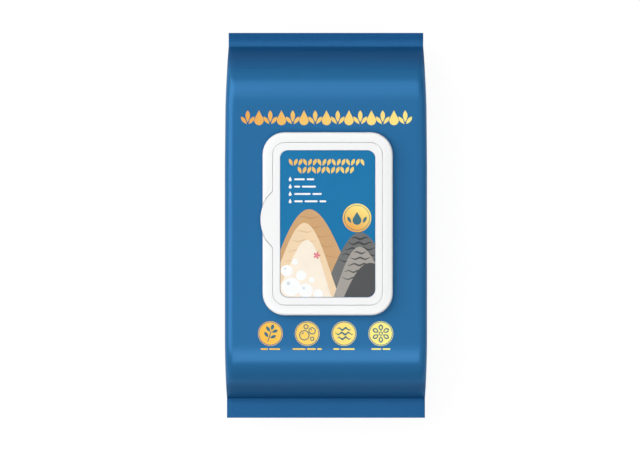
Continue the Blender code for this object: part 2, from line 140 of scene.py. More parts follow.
# Folded wipes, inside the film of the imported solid
WIPE_COUNT = 20
WIPE_GAP = 0.0002
SOLID_FILM = 0.0005
FOLD_STEPS = 6
EMBOSS_PITCH = 0.0032

# The print's layers, one above the other
INK_STEP = 0.00003
INK_THICKNESS = 0.00002
LABEL_CORNER = 0.0046
MILLIMETRE = 0.001

# Nearly all of the grain's mask lies between these
MASK_LOW, MASK_HIGH = 0.3, 0.7
# Height of the tooth of paper and ink
TOOTH = 0.00001
# The film's roughness, and what it gains next to the end seals, where shade is painted into its colour. The render's
# noise filter draws a border where a roughness passes 0.274, so the film's front stays under that and the lid's
# plastic over it.
FILM_ROUGHNESS = 0.252
SEAL_DULLNESS = 0.3


class PouchEnd(NamedTuple):
    """One end of the pouch. A distance is measured from its seal line in towards the pack's middle."""

    side: int
    seal_depth: float
    seal_half_width: float
    shoulder_length: float
    back_length: float
    taper_length: float
    relief: float

    def y_at(self, distance):
        return self.side * (PACK_LENGTH / 2 - self.seal_depth - distance)

    def distance_at(self, y):
        return PACK_LENGTH / 2 - self.seal_depth - self.side * y

    def rings(self, crimp_pitch):
        """Places along the pack from this end's cut edge to the flat of the front panel."""
        count = round(self.seal_depth / crimp_pitch) * RINGS_PER_RIDGE
        depths = [-self.seal_depth * (1 - step / count) for step in range(1, count)]
        shares = [(step / SHOULDER_RINGS) ** SHOULDER_RING_POWER for step in range(1, SHOULDER_RINGS + 1)]
        depths += [0.0, FIRST_SHOULDER_RING] + [self.shoulder_length * share for share in shares]
        return [self.y_at(depth) for depth in depths]


TOP_END = PouchEnd(
    side=1,
    seal_depth=0.0080,
    seal_half_width=0.05725,
    shoulder_length=0.0360,
    back_length=0.0201,
    taper_length=0.0600,
    relief=0.00012,
)
BOTTOM_END = PouchEnd(
    side=-1,
    seal_depth=0.0115,
    seal_half_width=0.05825,
    shoulder_length=0.0340,
    back_length=0.0190,
    taper_length=0.0380,
    relief=0.00001,
)

# How much of the film's colour is left at distances from a seal line: shade painted into the colour on the shoulders
# and the end seals
TOP_PAINTED_SHADE = (
    (0.0150, 1.0),
    (0.0120, 0.66),
    (0.0085, 0.33),
    (0.0060, 0.20),
    (0.0014, 0.17),
    (0.0003, 0.53),
    (-0.0022, 0.47),
    (-0.0045, 0.14),
)
BOTTOM_PAINTED_SHADE = (
    (0.0110, 1.0),
    (0.0080, 0.55),
    (0.0060, 0.42),
    (0.0020, 0.70),
    (0.0, 0.15),
    (-0.0012, 0.20),
    (-0.0030, 0.42),
)

# What every colour setting has
COLOUR = {"subtype": "COLOR", "min": 0.0, "max": 1.0}


class PouchSettings(bpy.types.PropertyGroup):
    film_colour: FloatVectorProperty(
        name="Film colour", description="Ink of the printed film", default=(0.0225, 0.148, 0.344), **COLOUR
    )
    # Painted shade: a darker film colour that the film's colour fades into next to its end seals
    painted_shade_colour: FloatVectorProperty(
        name="Painted shade", description="Painted shade of the film next to its end seals", default=(0.0016, 0.062, 0.190), **COLOUR
    )
    film_wall: FloatProperty(
        name="Film wall", description="Thickness of the film", default=0.0003, min=0.0001, unit="LENGTH"
    )
    crimp_pitch: FloatProperty(
        name="Crimp pitch",
        description="Distance between two ridges of an end seal",
        default=0.0020,
        min=0.0005,
        unit="LENGTH",
    )


class LidSettings(bpy.types.PropertyGroup):
    plastic_colour: FloatVectorProperty(
        name="Plastic colour",
        description="Moulded plastic of the frame and the cover",
        default=(0.820, 0.824, 0.828),
        **COLOUR,
    )
    edge_round: FloatProperty(
        name="Edge round",
        description="Radius that the mould leaves on the lid's sharp edges",
        default=0.00042,
        min=0.00005,
        unit="LENGTH",
    )
    web_thickness: FloatProperty(
        name="Web thickness",
        description="Thickness of the living hinge's webs",
        default=0.00025,
        min=0.0001,
        unit="LENGTH",
    )
    web_count: IntProperty(name="Webs", description="Number of webs along the living hinge", default=3, min=1)


class PrintSettings(bpy.types.PropertyGroup):
    label_colour: FloatVectorProperty(
        name="Label colour", description="Ground of the printed label", default=(0.0060, 0.160, 0.362), **COLOUR
    )
    gold_left: FloatVectorProperty(
        name="Gold, left",
        description="Gold ink of the frieze at the pack's left",
        default=(0.740, 0.345, 0.070),
        **COLOUR,
    )
    gold_right: FloatVectorProperty(
        name="Gold, right",
        description="Gold ink of the frieze at the pack's right",
        default=(0.900, 0.740, 0.220),
        **COLOUR,
    )
    disc_left: FloatVectorProperty(
        name="Disc gold, left",
        description="Gold ink of the discs at the pack's left",
        default=(0.870, 0.480, 0.060),
        **COLOUR,
    )
    disc_right: FloatVectorProperty(
        name="Disc gold, right",
        description="Gold ink of the discs at the pack's right",
        default=(0.900, 0.820, 0.240),
        **COLOUR,
    )
    picture_dark: FloatVectorProperty(
        name="Picture ink", description="Darkest ink of the disc pictures", default=(0.030, 0.135, 0.190), **COLOUR
    )


class WipeSettings(bpy.types.PropertyGroup):
    cloth_colour: FloatVectorProperty(
        name="Cloth colour", description="Damp nonwoven cloth", default=(0.80, 0.81, 0.79), **COLOUR
    )
    leaf_thickness: FloatProperty(
        name="Leaf thickness",
        description="Thickness of one leaf of a folded wipe",
        default=0.00065,
        min=0.0002,
        unit="LENGTH",
    )
    rumple: FloatProperty(
        name="Rumple",
        description="How far the top wipe's surface rises and falls",
        default=0.0003,
        min=0.0,
        unit="LENGTH",
    )


class StageSettings(bpy.types.PropertyGroup):
    camera_height: FloatProperty(
        name="Camera height", description="Height of the camera above the lid", default=8.36, min=0.5, unit="LENGTH"
    )
    focal_length: FloatProperty(
        name="Focal length",
        description="Focal length of the lens",
        default=802.0,
        min=20.0,
        subtype="DISTANCE_CAMERA",
    )
    key_power: FloatProperty(
        name="Key light",
        description="Power of the main soft light, from the upper left",
        default=59.0,
        min=0.0,
        unit="POWER",
    )
    fill_power: FloatProperty(
        name="Fill light",
        description="Power of the soft light from the lower right",
        default=13.5,
        min=0.0,
        unit="POWER",
    )
    strip_power: FloatProperty(
        name="Strip lights",
        description="Power of the strips that gleam on the film's shoulders",
        default=6.2,
        min=0.0,
        unit="POWER",
    )
    room_light: FloatProperty(
        name="Room light", description="Brightness of the room round the object", default=0.115, min=0.0
    )


def settings(name):
    return getattr(bpy.context.scene, "wipes_pack_" + name)


def clear_selection():
    """Object mode, with nothing selected."""
    active = bpy.context.view_layer.objects.active
    if active and active.mode != "OBJECT":
        bpy.ops.object.mode_set(mode="OBJECT")
    bpy.ops.object.select_all(action="DESELECT")


def make_active(piece):
    clear_selection()
    piece.select_set(True)
    bpy.context.view_layer.objects.active = piece


def settle(name):
    """Names the active piece, and applies its place, turn and scale to its mesh."""
    piece = bpy.context.object
    bpy.ops.object.transform_apply(location=True, rotation=True, scale=True)
    piece.name = name
    piece.data.name = name
    return piece


def add_block(name, low, high):
    """A box between two corners."""
    clear_selection()
    low, high = Vector(low), Vector(high)
    bpy.ops.mesh.primitive_cube_add(size=1.0, location=(low + high) / 2, scale=high - low)
    return settle(name)


def pick(piece, kind, test):
    """Selects vertices, edges or faces in edit mode, and counts them. A vertex is tested by its place."""
    shape = bmesh.from_edit_mesh(piece.data)
    for element in chain(shape.verts, shape.edges, shape.faces):
        element.select_set(False)
    bpy.context.tool_settings.mesh_select_mode = (kind == "VERT", kind == "EDGE", kind == "FACE")
    elements = {"VERT": shape.verts, "EDGE": shape.edges, "FACE": shape.faces}[kind]
    chosen = [element for element in elements if test(element.co if kind == "VERT" else element)]
    for element in chosen:
        element.select_set(True)
    shape.select_flush_mode()
    bmesh.update_edit_mesh(piece.data)
    return len(chosen)


def edit(piece):
    make_active(piece)
    bpy.ops.object.mode_set(mode="EDIT")
    bpy.ops.mesh.select_all(action="SELECT")


def leave_edit():
    bpy.ops.object.mode_set(mode="OBJECT")


def cut_across(axis, place):
    """Cuts every face along the plane at a place on an axis, and leaves both sides."""
    normal = Vector([float(axis == other) for other in "xyz"])
    bpy.ops.mesh.select_all(action="SELECT")
    bpy.ops.mesh.bisect(plane_co=normal * place, plane_no=normal)


def move(x=0.0, z=0.0):
    bpy.ops.transform.translate(value=(x, 0.0, z))


def resize(centre, x=1.0, y=1.0, z=1.0):
    bpy.ops.transform.resize(value=(x, y, z), center_override=centre)


def round_edges(piece, radius, segments, test):
    edit(piece)
    pick(piece, "EDGE", test)
    bpy.ops.mesh.bevel(offset=radius, offset_type="OFFSET", segments=segments, affect="EDGES")
    leave_edit()


def is_upright(edge):
    first, second = edge.verts[0].co, edge.verts[1].co
    return (first.xy - second.xy).length < NEAR


def use_modifier(piece, kind, **values):
    make_active(piece)
    modifier = piece.modifiers.new(kind.title(), kind)
    for name, value in values.items():
        setattr(modifier, name, value)
    bpy.ops.object.modifier_apply(modifier=modifier.name)


def thicken(piece, thickness, offset):
    use_modifier(piece, "SOLIDIFY", thickness=thickness, offset=offset, use_even_offset=False)


def smooth(piece, degrees=32):
    make_active(piece)
    bpy.ops.object.shade_smooth_by_angle(angle=math.radians(degrees))


def finish_piece(piece, look, body, nodes=(), degrees=32):
    """Gives a modelled piece its shading, look and body, and hides the nodes that it stands for."""
    smooth(piece, degrees)
    piece.data.materials.clear()
    piece.data.materials.append(look)
    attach(piece, body)
    if nodes:
        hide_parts(*nodes)


def copy_of_node(node, name):
    """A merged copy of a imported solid, with an edge only where two faces turn."""
    source = frame["nodes"][node]
    piece = bpy.data.objects.new(name, source.data.copy())
    piece.data.name = name
    bpy.context.scene.collection.objects.link(piece)
    edit(piece)
    bpy.ops.mesh.remove_doubles(threshold=NEAR)
    bpy.ops.mesh.dissolve_limited(angle_limit=math.radians(0.6))
    leave_edit()
    return piece


def feed(tree, node, inputs):
    """Gives inputs of a node, by name or number, their values or the outputs that are linked to them."""
    for name, value in inputs.items():
        if isinstance(value, bpy.types.NodeSocket):
            tree.links.new(value, node.inputs[name])
        else:
            node.inputs[name].default_value = value
    return node


def add_node(tree, kind, inputs=None, **values):
    node = tree.nodes.new(kind)
    for name, value in values.items():
        setattr(node, name, value)
    return feed(tree, node, inputs or {})


def math_node(tree, operation, *inputs):
    """What a Math node makes of its inputs."""
    return add_node(tree, "ShaderNodeMath", dict(enumerate(inputs)), operation=operation).outputs[0]


def object_place(tree):
    return add_node(tree, "ShaderNodeTexCoord").outputs["Object"]


def new_group(name, inputs, outputs):
    """A node group with named inputs, each with its kind and default, and named outputs, each with its kind."""
    tree = bpy.data.node_groups.new(name, "ShaderNodeTree")
    for title, kind, default in inputs:
        socket = tree.interface.new_socket(name=title, in_out="INPUT", socket_type="NodeSocket" + kind)
        socket.default_value = default
    for title, kind in outputs:
        tree.interface.new_socket(name=title, in_out="OUTPUT", socket_type="NodeSocket" + kind)
    return tree, tree.nodes.new("NodeGroupInput").outputs, tree.nodes.new("NodeGroupOutput")


def grain_group():
    """Even noise at two sizes, as a height and as a mask round one half."""
    if "surface_grain" in bpy.data.node_groups:
        return bpy.data.node_groups["surface_grain"]
    tree, entry, leave = new_group(
        "surface_grain",
        (("Coarse scale", "Float", 60.0), ("Fine scale", "Float", 900.0), ("Fine share", "Float", 0.3)),
        (("Height", "Float"), ("Mask", "Float")),
    )
    place = object_place(tree)
    coarse, fine = (
        add_node(tree, "ShaderNodeTexNoise", {"Detail": detail, "Vector": place, "Scale": entry[scale]}).outputs["Fac"]
        for scale, detail in (("Coarse scale", 0.0), ("Fine scale", 2.0))
    )
    small = math_node(tree, "MULTIPLY", fine, entry["Fine share"])
    feed(tree, leave, {"Height": math_node(tree, "ADD", coarse, small), "Mask": coarse})
    return tree


def fade_group():
    """A colour that fades from one side of a middle to the other, along a direction."""
    if "colour_fade" in bpy.data.node_groups:
        return bpy.data.node_groups["colour_fade"]
    white = (1, 1, 1, 1)
    tree, entry, leave = new_group(
        "colour_fade",
        (
            ("First", "Color", white),
            ("Last", "Color", white),
            ("Middle", "Vector", (0, 0, 0)),
            ("Per length", "Vector", (20, 0, 0)),
        ),
        (("Colour", "Color"),),
    )
    away = {0: object_place(tree), 1: entry["Middle"]}
    away = add_node(tree, "ShaderNodeVectorMath", away, operation="SUBTRACT").outputs[0]
    along = {0: away, 1: entry["Per length"]}
    along = add_node(tree, "ShaderNodeVectorMath", along, operation="DOT_PRODUCT").outputs["Value"]
    share = math_node(tree, "MULTIPLY_ADD", along, 0.5, 0.5)
    share.node.use_clamp = True
    mix = add_node(tree, "ShaderNodeMix", {"Factor": share, 6: entry["First"], 7: entry["Last"]}, data_type="RGBA")
    feed(tree, leave, {"Colour": mix.outputs[2]})
    return tree


def tone_group():
    """A colour made a little lighter and darker by a mask."""
    if "uneven_tone" in bpy.data.node_groups:
        return bpy.data.node_groups["uneven_tone"]
    tree, entry, leave = new_group(
        "uneven_tone",
        (("Colour", "Color", (1, 1, 1, 1)), ("Mask", "Float", 0.5), ("Amount", "Float", 0.05)),
        (("Colour", "Color"),),
    )
    swing = math_node(tree, "SUBTRACT", entry["Mask"], 0.5)
    swing = math_node(tree, "MULTIPLY", swing, entry["Amount"])
    level = math_node(tree, "ADD", swing, 1.0)
    tone = add_node(tree, "ShaderNodeVectorMath", {0: entry["Colour"], "Scale": level}, operation="SCALE")
    feed(tree, leave, {"Colour": tone.outputs[0]})
    return tree


def place_group(tree, group, **inputs):
    inputs = {name.replace("_", " ").capitalize(): value for name, value in inputs.items()}
    return add_node(tree, "ShaderNodeGroup", inputs, node_tree=group).outputs


def new_material(name, colour, roughness, **sockets):
    """A material whose even values are set on the shader's own sockets."""
    look = bpy.data.materials.new(name)
    look.use_nodes = True
    look.diffuse_color = (*colour, 1.0)
    shader = look.node_tree.nodes["Principled BSDF"]
    values = {socket.replace("_", " "): value for socket, value in sockets.items()}
    feed(look.node_tree, shader, {"Base Color": (*colour, 1.0), "Roughness": roughness, **values})
    return look, look.node_tree, shader


def uneven_colour(tree, shader, colour, mask, amount):
    tone = place_group(tree, tone_group(), amount=amount, colour=colour, mask=mask)
    feed(tree, shader, {"Base Color": tone["Colour"]})


def bumpy(tree, shader, height, distance, strength):
    bump = add_node(tree, "ShaderNodeBump", {"Distance": distance, "Strength": strength, "Height": height})
    feed(tree, shader, {"Normal": bump.outputs["Normal"]})


def uneven_roughness(tree, shader, mask, low, high):
    limits = {"From Min": MASK_LOW, "From Max": MASK_HIGH, "To Min": low, "To Max": high}
    spread = add_node(tree, "ShaderNodeMapRange", {"Value": mask, **limits})
    feed(tree, shader, {"Roughness": spread.outputs["Result"]})


def add_tooth(tree, shader, colour, amount, strength, **scales):
    """Makes a print faintly uneven, in tone and in height, and returns the mask of it."""
    grain = place_group(tree, grain_group(), **scales)
    uneven_colour(tree, shader, colour, grain["Mask"], amount)
    bumpy(tree, shader, grain["Height"], TOOTH, strength)
    return grain["Mask"]


def film_look():
    """Satin printed film, with shade painted into its colour towards the end seals, where it also dulls."""
    pouch = settings("pouch")
    look, tree, shader = new_material("satin_film", pouch.film_colour, 0.28, Specular_IOR_Level=0.12, Metallic=0.2)
    parts = add_node(tree, "ShaderNodeSeparateXYZ", {0: object_place(tree)})
    share = math_node(tree, "MULTIPLY_ADD", parts.outputs["Y"], 1 / PACK_LENGTH, 0.5)
    # A ramp along the pack's length paints shade into the film's colour, darkest on the shoulders and seals
    depth = add_node(tree, "ShaderNodeValToRGB", {"Fac": share})
    shade_stops = []
    for end, levels in ((BOTTOM_END, BOTTOM_PAINTED_SHADE), (TOP_END, TOP_PAINTED_SHADE)):
        shade_stops += [(end.y_at(distance) / PACK_LENGTH + 0.5, level) for distance, level in levels]
    shade_stops.sort()
    ramp = depth.color_ramp
    for position, _ in shade_stops[1:-1]:
        ramp.elements.new(position)
    for element, (position, level) in zip(ramp.elements, shade_stops):
        element.position = position
        element.color = (level, level, level, 1.0)
    level = depth.outputs["Color"]
    shaded_inks = {"Factor": level, 6: (*pouch.painted_shade_colour, 1.0), 7: (*pouch.film_colour, 1.0)}
    ink = add_node(tree, "ShaderNodeMix", shaded_inks, data_type="RGBA")
    dull = math_node(tree, "MULTIPLY_ADD", level, -SEAL_DULLNESS, SEAL_DULLNESS + FILM_ROUGHNESS)
    grain = place_group(tree, grain_group(), coarse_scale=38.0)
    uneven = math_node(tree, "MULTIPLY", grain["Mask"], 0.02)
    feed(tree, shader, {"Base Color": ink.outputs[2], "Roughness": math_node(tree, "ADD", dull, uneven)})
    return look


def plastic_look():
    """Glossy white moulded plastic, whose gloss varies a little."""
    look, tree, shader = new_material("white_moulding", settings("lid").plastic_colour, 0.28, Specular_IOR_Level=0.45)
    grain = place_group(tree, grain_group(), coarse_scale=60.0)
    uneven_roughness(tree, shader, grain["Mask"], 0.278, 0.288)
    return look


def label_look():
    """Blue label stock with the faint tooth of printed paper."""
    colour = settings("printing").label_colour
    look, tree, shader = new_material("label_stock", colour, 0.34, Specular_IOR_Level=0.15)
    scales = {"coarse_scale": 120.0, "fine_scale": 3200.0, "fine_share": 0.8}
    mask = add_tooth(tree, shader, (*colour, 1.0), 0.04, 0.4, **scales)
    uneven_roughness(tree, shader, mask, 0.33, 0.40)
    return look


def ink_look(name, colour):
    """Flat printing ink with a faint unevenness."""
    look, tree, shader = new_material(name, colour, 0.36, Specular_IOR_Level=0.4)
    add_tooth(tree, shader, (*colour, 1.0), 0.06, 0.3, coarse_scale=180.0, fine_scale=2600.0, fine_share=0.6)
    return look


def gold_look(name, first, last, middle=(0.0, 0.0, 0.0), per_length=(20.0, 0.0, 0.0)):
    """Gold ink that fades from one gold to another along a direction, as on the pack from its left to its right."""
    look, tree, shader = new_material(name, first, 0.36, Specular_IOR_Level=0.25)
    golds = {"first": (*first, 1.0), "last": (*last, 1.0)}
    fade = place_group(tree, fade_group(), middle=middle, per_length=per_length, **golds)
    add_tooth(tree, shader, fade["Colour"], 0.05, 0.3, coarse_scale=160.0, fine_scale=2600.0, fine_share=0.6)
    return look


def cloth_look():
    """Damp nonwoven cloth: a pillowed diamond emboss over a bed of fine fibres."""
    colour = settings("wipes").cloth_colour
    look, tree, shader = new_material(
        "damp_nonwoven", colour, 0.62, Specular_IOR_Level=0.5, Sheen_Weight=0.15, Sheen_Roughness=0.5
    )
    grain = place_group(tree, grain_group(), coarse_scale=240.0, fine_scale=3800.0, fine_share=0.9)
    scale = 2 * math.pi / EMBOSS_PITCH
    turn = {"Rotation": (0.0, 0.0, math.radians(45)), "Scale": (scale, scale, 1.0), "Vector": object_place(tree)}
    turn = add_node(tree, "ShaderNodeMapping", turn).outputs["Vector"]
    parts = add_node(tree, "ShaderNodeSeparateXYZ", {0: turn}).outputs
    waves = [math_node(tree, "SINE", parts[axis]) for axis in "XY"]
    pillows = math_node(tree, "ABSOLUTE", math_node(tree, "MULTIPLY", *waves))
    pillows = math_node(tree, "POWER", pillows, 0.5)
    fibres = math_node(tree, "MULTIPLY", grain["Height"], 0.35)
    # The cloth is lighter on the emboss's raised pillows and darker in its pressed lines: painted shade that follows
    # the emboss height
    uneven_colour(tree, shader, (*colour, 1.0), pillows, 0.10)
    bumpy(tree, shader, math_node(tree, "ADD", pillows, fibres), 0.00022, 0.8)
    return look


def pouch_end_at(y):
    return TOP_END if y > (TOP_END.y_at(0) + BOTTOM_END.y_at(0)) / 2 else BOTTOM_END


def pouch_section(y):
    """The sizes of the pouch's section at a place along its length."""
    end = pouch_end_at(y)
    distance = end.distance_at(y)
    inward = max(0.0, distance)
    taper = max(0.0, 1 - inward / end.taper_length)
    shift = 0.0
    if distance < -NEAR:
        ridges = round(end.seal_depth / settings("pouch").crimp_pitch)
        shift = end.relief * math.sin(2 * math.pi * ridges * distance / end.seal_depth)
    front = max(0.0, 1 - inward / end.shoulder_length) ** FRONT_SHOULDER_POWER
    back = max(0.0, 1 - inward / end.back_length)
    flat_start, flat_stop = (item.y_at(item.back_length) for item in (BOTTOM_END, TOP_END))
    along = (2 * y - flat_start - flat_stop) / (flat_stop - flat_start)
    bow = BACK_BOW * max(0.0, 1 - along**2)
    low = (SEAL_HEIGHT - SEAL_THICKNESS / 2) * back**BACK_SHOULDER_POWER + bow
    high = PACK_THICKNESS - (PACK_THICKNESS - SEAL_HEIGHT - SEAL_THICKNESS / 2) * front
    sealed = distance < NEAR
    return {
        "half_width": PACK_HALF_WIDTH + (end.seal_half_width - PACK_HALF_WIDTH) * taper**2,
        "low": low + shift,
        "high": high + shift,
        "corner": SEAL_EDGE_RADIUS if sealed else min(PACK_EDGE_RADIUS, SHOULDER_EDGE_SHARE * (high - low)),
        "tuck": 0.0 if sealed else GUSSET_DEPTH * back**GUSSET_POWER,
        "trough": TROUGH_DEPTH * (1 - back) - bow if distance > 0 else 0.0,
    }


def shape_ring(piece, y):
    """Brings the pouch's vertices at one place along its length to the section there."""
    section = pouch_section(y)
    half, low, high = section["half_width"], section["low"], section["high"]
    widen = half / PACK_HALF_WIDTH
    middle = (low + high) / 2

    def pick_here(test):
        pick(piece, "VERT", lambda co: abs(co.y - y) < NEAR and test(co))

    pick_here(lambda co: True)
    resize((0.0, y, PACK_THICKNESS / 2), x=widen, z=(high - low) / PACK_THICKNESS)
    move(z=middle - PACK_THICKNESS / 2)
    squeeze = section["corner"] / (PACK_EDGE_RADIUS * widen)
    inner = half - PACK_EDGE_RADIUS * widen + NEAR
    for side in (-1, 1):
        pick_here(lambda co, side=side: side * co.x > inner)
        resize((side * half, y, middle), x=squeeze)
        if section["tuck"] > 0:
            pick_here(lambda co, side=side: side * co.x > 0 and abs(co.z - middle) < NEAR)
            move(x=-side * section["tuck"])
    trough = section["trough"]
    if trough > 10 * NEAR:
        flat, edge = TROUGH_FLAT_HALF * widen + NEAR, TROUGH_HALF * widen + NEAR
        for near, far, depth in ((flat, edge, min(TROUGH_LIP, trough / 2)), (-1.0, flat, trough)):
            pick_here(lambda co, near=near, far=far: co.z < middle and near < abs(co.x) < far)
            move(z=depth)


def add_fin(rings):
    """The lengthwise fin seal: a doubled strip of film that lies folded in the trough of the back."""
    start, stop = BOTTOM_END.y_at(-FIN_IN_SEAL), TOP_END.y_at(-FIN_IN_SEAL)
    fin = add_block("fin_seal", (-FIN_UNDERLAP, start, 0.0), (FIN_WIDTH, stop, FIN_THICKNESS))
    edit(fin)
    inner = [y for y in rings if start + 10 * NEAR < y < stop - 10 * NEAR]
    for y in inner:
        cut_across("y", y)
    for y in [start, *inner, stop]:
        section = pouch_section(y)
        pick(fin, "VERT", lambda co, y=y: abs(co.y - y) < NEAR)
        share = 1.0 if section["trough"] > FIN_FREE_DEPTH else FIN_FLATTENED
        resize((0.0, y, 0.0), z=share)
        move(z=section["low"] + section["trough"] - (FIN_GAP / 2 + FIN_THICKNESS) * share)
    leave_edit()
    return fin


def arc(middle, radius, start, stop, steps):
    """Points along an arc, with its angles in degrees."""
    points = []
    for step in range(steps + 1):
        angle = math.radians(start + (stop - start) * step / steps)
        points.append((middle[0] + radius * math.cos(angle), middle[1] + radius * math.sin(angle)))
    return points


def disc(middle, radius, steps=40):
    return arc(middle, radius, 0, 360, steps)[:-1]


def ring(middle, radius, width, steps=40):
    return [disc(middle, radius, steps), disc(middle, radius - width, steps)]


def turned(points, middle, degrees):
    """Points given round the origin, turned and then moved to their middle."""
    angle = math.radians(degrees)
    cos, sin = math.cos(angle), math.sin(angle)
    return [(middle[0] + x * cos - y * sin, middle[1] + x * sin + y * cos) for x, y in points]


def leaf(middle, length, width, degrees, steps=8):
    """A leaf with a point at each end, along its own X before it is turned."""
    upper = [-1 + 2 * step / steps for step in range(steps + 1)]
    points = [(share * length / 2, width / 2 * (1 - share**2) * (1 + 0.25 * share)) for share in upper]
    points += [(x, -y) for x, y in reversed(points[1:-1])]
    return turned(points, middle, degrees)


def drop(middle, radius, length, degrees=90, steps=14):
    """A drop with its point along its own X before it is turned, and its round end at the middle."""
    tangent = math.degrees(math.acos(radius / (length - radius)))
    points = [(length - radius, 0.0)] + arc((0.0, 0.0), radius, tangent, 360 - tangent, steps)
    return turned(points, middle, degrees)


def bar(left, right, y, height, steps=5):
    """A bar with round ends."""
    radius = height / 2
    return arc((right - radius, y), radius, -90, 90, steps) + arc((left + radius, y), radius, 90, 270, steps)


def wave(left, right, y, rise, thickness, length, steps=40, phase=0.0):
    """A wavy ribbon that thins out towards both ends."""
    upper, lower = [], []
    for step in range(steps + 1):
        share = step / steps
        x = left + (right - left) * share
        middle = y + rise * math.sin(2 * math.pi * (x - left) / length + phase)
        half = thickness / 2 * (0.25 + 0.75 * math.sin(math.pi * share))
        upper.append((x, middle + half))
        lower.append((x, middle - half))
    return upper + list(reversed(lower))


def hill(left, right, base, top, lean=0.5, steps=28):
    """A smooth hump on a level base, whose top stands at a share of its width."""
    points = []
    for step in range(steps + 1):
        share = step / steps
        bent = share ** (math.log(0.5) / math.log(lean))
        points.append((left + (right - left) * share, base + (top - base) * math.sin(math.pi * bent) ** 1.3))
    return [(left, base - 0.01)] + points + [(right, base - 0.01)]


def span_at(points, y):
    """The leftmost and rightmost place of an outline at a height."""
    crossings = []
    for (x1, y1), (x2, y2) in zip(points, points[1:] + points[:1]):
        if (y1 - y) * (y2 - y) < 0:
            crossings.append(x1 + (x2 - x1) * (y - y1) / (y2 - y1))
    return min(crossings), max(crossings)


def strata(points, heights, rise, thickness, length):
    """Wavy lines across a hill at some heights, clear of its slopes."""
    lines = []
    for index, y in enumerate(heights):
        left, right = span_at(points, y)
        lines.append(wave(left + 1.4, right - 1.4, y, rise, thickness, length, phase=1.9 * index))
    return lines


def kept_inside(points, outline):
    """The part of an outline that lies inside a convex one, which runs anticlockwise."""
    for start, stop in zip(outline, outline[1:] + outline[:1]):
        edge = (stop[0] - start[0], stop[1] - start[1])

        def side(point, start=start, edge=edge):
            return edge[0] * (point[1] - start[1]) - edge[1] * (point[0] - start[0])

        kept = []
        for first, second in zip(points, points[1:] + points[:1]):
            here, there = side(first), side(second)
            if here >= 0:
                kept.append(first)
            if here * there < 0:
                share = here / (here - there)
                kept.append(tuple(a + (b - a) * share for a, b in zip(first, second)))
        points = kept
    return points


def print_shapes(name, outlines, height, look, body, on=None):
    """Prints closed outlines, in millimetres, flat at a height or laid on a curved piece."""
    clear_selection()
    curve = bpy.data.curves.new(name, "CURVE")
    curve.dimensions = "2D"
    curve.fill_mode = "BOTH"
    for points in outlines:
        spline = curve.splines.new("POLY")
        spline.points.add(len(points) - 1)
        for point, (x, y) in zip(spline.points, points):
            point.co = (x * MILLIMETRE, y * MILLIMETRE, 0.0, 1.0)
        spline.use_cyclic_u = True
    drawing = bpy.data.objects.new(name, curve)
    bpy.context.scene.collection.objects.link(drawing)
    drawing.location.z = height + (MILLIMETRE if on else 0.0)
    make_active(drawing)
    bpy.ops.object.convert(target="MESH")
    piece = settle(name)
    edit(piece)
    bpy.ops.mesh.remove_doubles(threshold=NEAR)
    bpy.ops.mesh.normals_make_consistent(inside=False)
    leave_edit()
    if piece.data.polygons[0].normal.z < 0:
        edit(piece)
        bpy.ops.mesh.flip_normals()
        leave_edit()
    if on:
        use_modifier(
            piece,
            "SHRINKWRAP",
            target=on,
            wrap_method="PROJECT",
            use_project_z=True,
            use_negative_direction=True,
            use_positive_direction=False,
            offset=height - PACK_THICKNESS,
        )
    thicken(piece, INK_THICKNESS, 1.0)
    finish_piece(piece, look, body, degrees=30)


def print_on_film(name, outlines, layer, look):
    film = bpy.data.objects["printed_film"]
    print_shapes(name, outlines, PACK_THICKNESS + INK_STEP * (1 + layer), look, "pack", on=film)


def print_on_label(name, outlines, layer, look):
    print_shapes(name, outlines, LID_TOP + INK_STEP * (0.4 + layer), look, "lid")


def bars_in_row(start, dashes, gap, y, height):
    """Bars of some lengths one after the other."""
    bars = []
    for dash in dashes:
        bars.append(bar(start, start + dash, y, height))
        start += dash + gap
    return bars


def rounded_plate(name, middle, width, length, radius, low, high):
    """A flat plate with round corners, seen from above."""
    left, right = middle.x - width / 2, middle.x + width / 2
    near, far = middle.y - length / 2, middle.y + length / 2
    piece = add_block(name, (left, near, low), (right, far, high))
    round_edges(piece, radius, 10, is_upright)
    return piece


